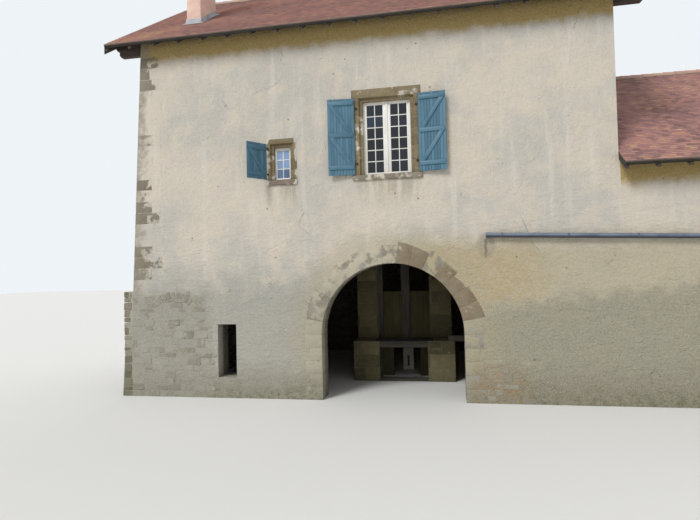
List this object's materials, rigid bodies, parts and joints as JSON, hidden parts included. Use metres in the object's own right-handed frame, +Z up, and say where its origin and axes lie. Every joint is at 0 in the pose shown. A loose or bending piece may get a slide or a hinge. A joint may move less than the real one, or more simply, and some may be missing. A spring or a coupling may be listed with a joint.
{
  "type": "watermill building",
  "caption": "Rendered stone watermill with a round arch over a sluice frame, board shutters on pin hinges, tiled gable roof, chimney and a lower wing.",
  "frame": {"origin": "middle of the building's outline, at the level of the walls' feet", "axes": "+X right along the front, +Y into the building, +Z up"},
  "size_m": [18.34, 11.119, 14.981],
  "materials": {
    "render": "rough lime render",
    "render_peach": "rough lime render",
    "grey_stone": "rough stone",
    "corner_stone": "rough stone",
    "arch_stone": "dressed stone",
    "ochre_stone": "dressed stone",
    "white_paint": "painted",
    "glass": "clear",
    "blue_paint": "painted, weathered",
    "iron": "rusty",
    "floor_board": "sawn",
    "old_timber": "weathered",
    "grey_timber": "weathered",
    "panel_board": "weathered",
    "clay_tile": "weathered clay",
    "lead": "dull",
    "zinc": "dull"
  },
  "bodies": {
    "house": {"left_gable_wall": "render", "right_gable_wall": "render", "front_wall_left": "render", "front_wall_arch": "render", "front_wall_right": "render", "front_wall_upper": "render", "rear_wall_lower": "render", "rear_wall_upper": "render", "wing_front_wall": "render", "wing_end_wall": "render", "wing_rear_wall": "render", "left_footing": "grey_stone", "corner_quoins": "corner_stone", "arch_ring": "arch_stone", "big_window_surround": "ochre_stone", "small_window_surrounds": "ochre_stone", "window_sills": "grey_stone", "big_window_frame": "white_paint", "small_window_frames": "white_paint", "window_glass": "glass", "shutter_pintles": "iron", "upper_floor": "floor_board", "floor_joists": "old_timber", "floor_beams": "old_timber", "sluice_piers": "grey_stone", "sluice_beams": "grey_timber", "sluice_deck": "grey_timber", "sluice_posts": "grey_timber", "sluice_panels": "panel_board", "hanging_board": "grey_timber", "side_beam": "grey_timber", "purlins": "old_timber", "rafters_front": "old_timber", "rafters_rear": "old_timber", "roof_front": "clay_tile", "roof_rear": "clay_tile", "ridge_tiles": "clay_tile", "barge_boards": "old_timber", "chimney": "render_peach", "chimney_flashing": "lead", "drain_pipe": "zinc", "pipe_brackets": "iron"},
    "small_leaf": {"small_shutter": "blue_paint"},
    "left_leaf": {"left_shutter": "blue_paint"},
    "right_leaf": {"right_shutter": "blue_paint"}
  },
  "joints": [
    {"name": "small_shutter_hinge", "type": "hinge", "parent": "house", "child": "small_leaf", "pos_m": [-4.368, -4.96646, 6.14], "axis": [0, 0, -1], "range_deg": [-127, 53]},
    {"name": "left_shutter_hinge", "type": "hinge", "parent": "house", "child": "left_leaf", "pos_m": [-1.805, -4.96646, 6.14], "axis": [0, 0, -1], "range_deg": [-174, 6]},
    {"name": "right_shutter_hinge", "type": "hinge", "parent": "house", "child": "right_leaf", "pos_m": [-0.195, -4.96646, 6.14], "axis": [0, 0, 1], "range_deg": [-174, 6]}
  ]
}
